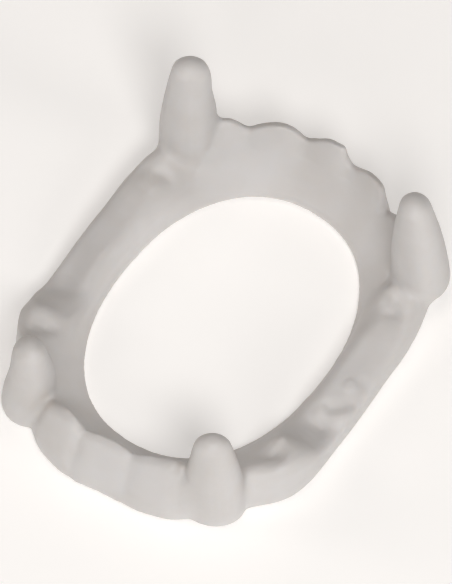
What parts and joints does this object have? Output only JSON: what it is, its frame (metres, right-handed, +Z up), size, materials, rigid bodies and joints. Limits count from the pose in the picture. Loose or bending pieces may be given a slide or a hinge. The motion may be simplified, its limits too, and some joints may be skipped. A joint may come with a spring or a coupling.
{
  "type": "novelty false teeth",
  "caption": "Soft plastic vampire false teeth lying open and flat: an oval band with an upper and a lower row of teeth, long fangs at the corners and a large oval mouth opening.",
  "frame": {"origin": "middle of the box round the part, on the flat underside that it lies on", "axes": "+X from the left side web to the right one, +Y from the lower row of teeth to the upper row, +Z up the way the teeth point"},
  "size_m": [0.0578, 0.0744, 0.0318],
  "materials": {
    "soft_plastic": "off-white satin soft plastic"
  },
  "bodies": {
    "root": {"fang_moulding": "soft_plastic"}
  },
  "joints": []
}
